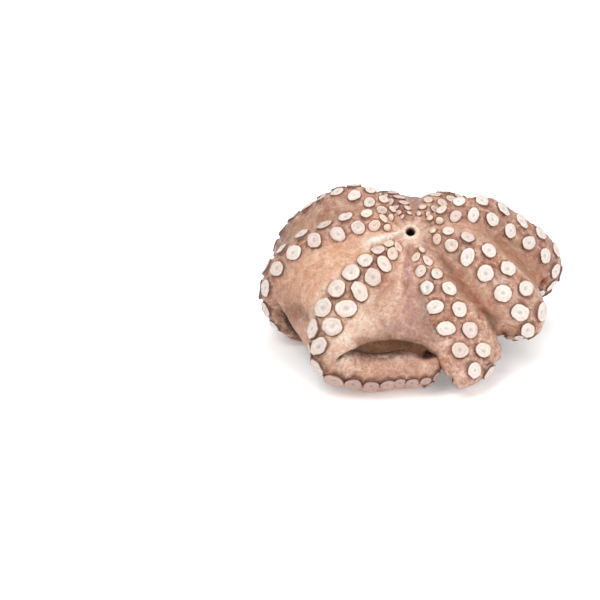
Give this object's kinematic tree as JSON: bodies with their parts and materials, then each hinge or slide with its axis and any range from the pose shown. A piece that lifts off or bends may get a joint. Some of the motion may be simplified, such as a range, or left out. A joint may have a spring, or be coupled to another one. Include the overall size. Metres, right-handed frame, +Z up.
{
  "type": "curled octopus",
  "caption": "Whole octopus lying on its head with the mouth up: a broad webbed crown of sucker-lined arms that bend over and curl in underneath.",
  "frame": {"origin": "on the ground, under the middle of the whole's box", "axes": "+Z up, out of the mouth; -Y towards the arm that lies along the ground in front; +X to the right seen from there"},
  "size_m": [0.3151, 0.2658, 0.1575],
  "materials": {
    "flesh": "moist tan-pink skin, soft satin with small wet highlights; suckers cream white"
  },
  "bodies": {
    "root": {"octopus": "flesh"}
  },
  "joints": []
}
